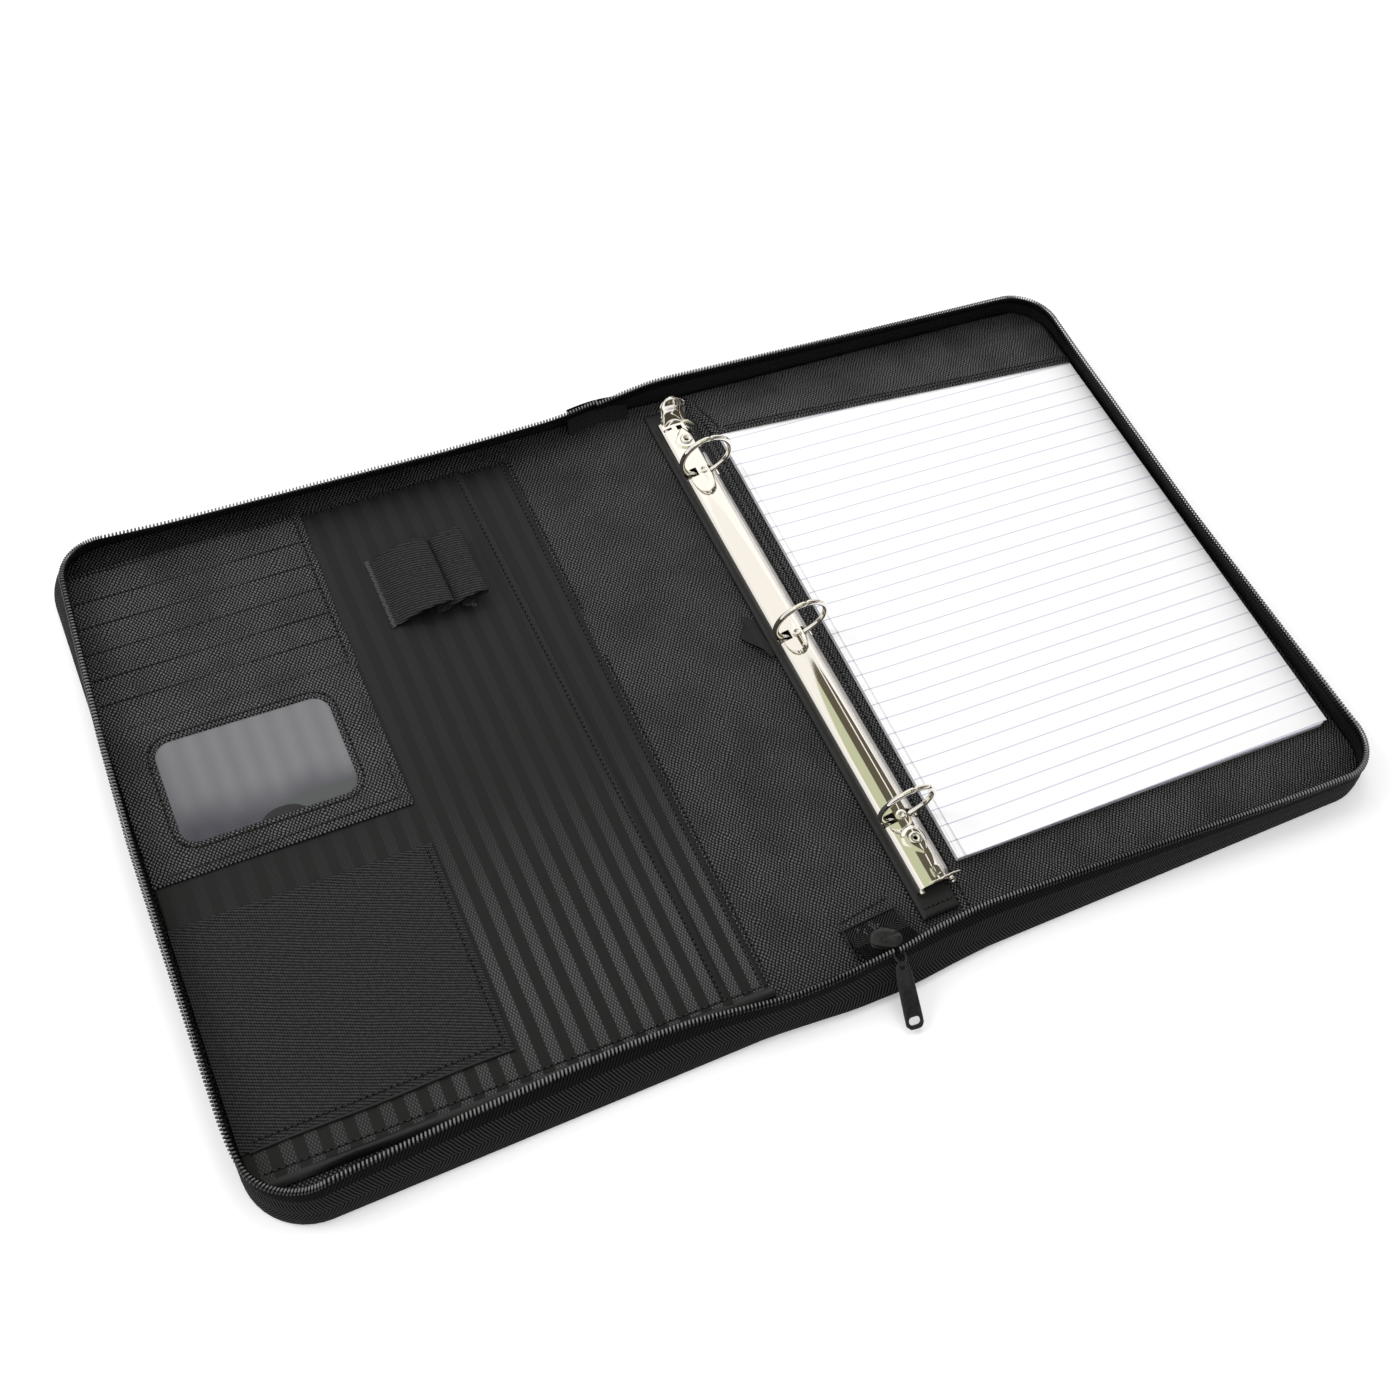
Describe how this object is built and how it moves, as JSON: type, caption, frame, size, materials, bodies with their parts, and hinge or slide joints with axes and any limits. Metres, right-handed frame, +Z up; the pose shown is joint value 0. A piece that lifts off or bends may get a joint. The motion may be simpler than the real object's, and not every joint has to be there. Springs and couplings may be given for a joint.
{
  "type": "portfolio case",
  "caption": "Zip-around portfolio case, lying open, with a lift-off ring binder, a ruled writing pad, card pockets, a window pocket and pen loops.",
  "frame": {"origin": "centre of the spine on the outer surface that the open case lies on", "axes": "+X from the front cover over the spine to the back cover, +Y along the spine from the near end to the far end, +Z up"},
  "size_m": [0.566, 0.3678, 0.0383],
  "materials": {
    "outer_leatherette": "embossed cross-hatch leatherette, satin",
    "foam": "thin foam sheet",
    "board": "grey stiffener board",
    "lining_leatherette": "fine grained leatherette, satin",
    "gusset_tape": "woven binding tape",
    "zipper_tape": "herringbone zip tape",
    "zipper_coil": "coiled nylon zip elements",
    "panel_leatherette": "embossed cross-hatch leatherette, satin",
    "loop_pile": "loop pile",
    "hook_pile": "hook pile",
    "ring_chrome": "bright nickel plating",
    "blade_steel": "plated steel strip",
    "paper": "smooth white ruled paper",
    "grey_board": "grey pad board",
    "head_tape": "paper binding tape",
    "slider_metal": "glossy dark enamel",
    "pocket_lining": "tone on tone striped satin",
    "card_leatherette": "smooth leatherette",
    "clear_film": "clear flexible film",
    "elastic": "ribbed elastic webbing"
  },
  "bodies": {
    "back_cover": {"back_outer_skin": "outer_leatherette", "back_foam": "foam", "back_board": "board", "back_lining": "lining_leatherette", "back_gusset": "gusset_tape", "back_zipper_tape": "zipper_tape", "back_zipper_chain": "zipper_coil", "pad_panel": "panel_leatherette", "pad_band": "panel_leatherette", "loop_pad": "loop_pile"},
    "spine": {"spine_outer_skin": "outer_leatherette", "spine_card": "board", "spine_lining": "lining_leatherette", "near_end_tape": "gusset_tape", "far_end_tape": "gusset_tape", "zip_slider": "slider_metal", "slider_bail": "slider_metal"},
    "front_cover": {"front_outer_skin": "outer_leatherette", "front_foam": "foam", "front_board": "board", "front_lining": "lining_leatherette", "front_gusset": "gusset_tape", "front_zipper_tape": "zipper_tape", "front_zipper_chain": "zipper_coil", "back_pocket": "pocket_lining", "front_pocket": "pocket_lining", "card_slot_1": "card_leatherette", "card_slot_2": "card_leatherette", "card_slot_3": "card_leatherette", "card_slot_4": "card_leatherette", "card_slot_5": "card_leatherette", "card_slot_6": "card_leatherette", "id_pocket": "panel_leatherette", "id_window": "clear_film", "elastic_pocket": "elastic", "pen_loop_wide": "elastic", "pen_loop_narrow": "elastic", "pen_loop_anchor": "elastic"},
    "zip_pull": {"zip_puller": "slider_metal"},
    "writing_pad": {"pad_backboard": "grey_board", "pad_sheets": "paper", "pad_head_tape": "head_tape"},
    "ring_binder": {"hook_pad": "hook_pile", "binder_strip": "panel_leatherette", "binder_strip_board": "board", "pull_tab": "panel_leatherette", "ring_housing": "ring_chrome", "housing_rivets": "ring_chrome"},
    "left_blade": {"left_hinge_plate": "blade_steel", "left_half_rings": "ring_chrome"},
    "right_blade": {"right_hinge_plate": "blade_steel", "right_half_rings": "ring_chrome"},
    "opener": {"opener_lever": "ring_chrome"}
  },
  "joints": [
    {"name": "spine_fold", "type": "hinge", "parent": "back_cover", "child": "spine", "pos_m": [0.021, 0, 0], "axis": [0, 1, 0], "range_deg": [0, 90], "deforming": ["pull_tab"]},
    {"name": "cover_fold", "type": "hinge", "parent": "spine", "child": "front_cover", "pos_m": [-0.021, 0, 0], "axis": [0, 1, 0], "range_deg": [0, 90]},
    {"name": "puller_swing", "type": "hinge", "parent": "spine", "child": "zip_pull", "pos_m": [0, -0.169, 0.0172], "axis": [-0.9962, 0.0872, 0], "range_deg": [0, 120]},
    {"name": "pad_slide", "type": "slide", "parent": "back_cover", "child": "writing_pad", "axis": [0, -1, 0], "range_m": [0, 0.024]},
    {"name": "binder_lift", "type": "slide", "parent": "back_cover", "child": "ring_binder", "axis": [0, 0, -1], "range_m": [-0.025, 0]},
    {"name": "left_ring_open", "type": "hinge", "parent": "ring_binder", "child": "left_blade", "pos_m": [0.03, 0.005, 0.0076], "axis": [0, 1, 0], "range_deg": [-18, 0]},
    {"name": "right_ring_open", "type": "hinge", "parent": "ring_binder", "child": "right_blade", "pos_m": [0.046, 0.005, 0.0076], "axis": [0, 1, 0], "range_deg": [0, 18]},
    {"name": "opener_press", "type": "hinge", "parent": "ring_binder", "child": "opener", "pos_m": [0.038, 0.146, 0.0091], "axis": [1, 0, 0], "range_deg": [-24, 0]}
  ],
  "couplings": [
    {"joint": "right_ring_open", "follows": "left_ring_open", "ratio": -1},
    {"joint": "opener_press", "follows": "left_ring_open", "ratio": 1.1111}
  ]
}
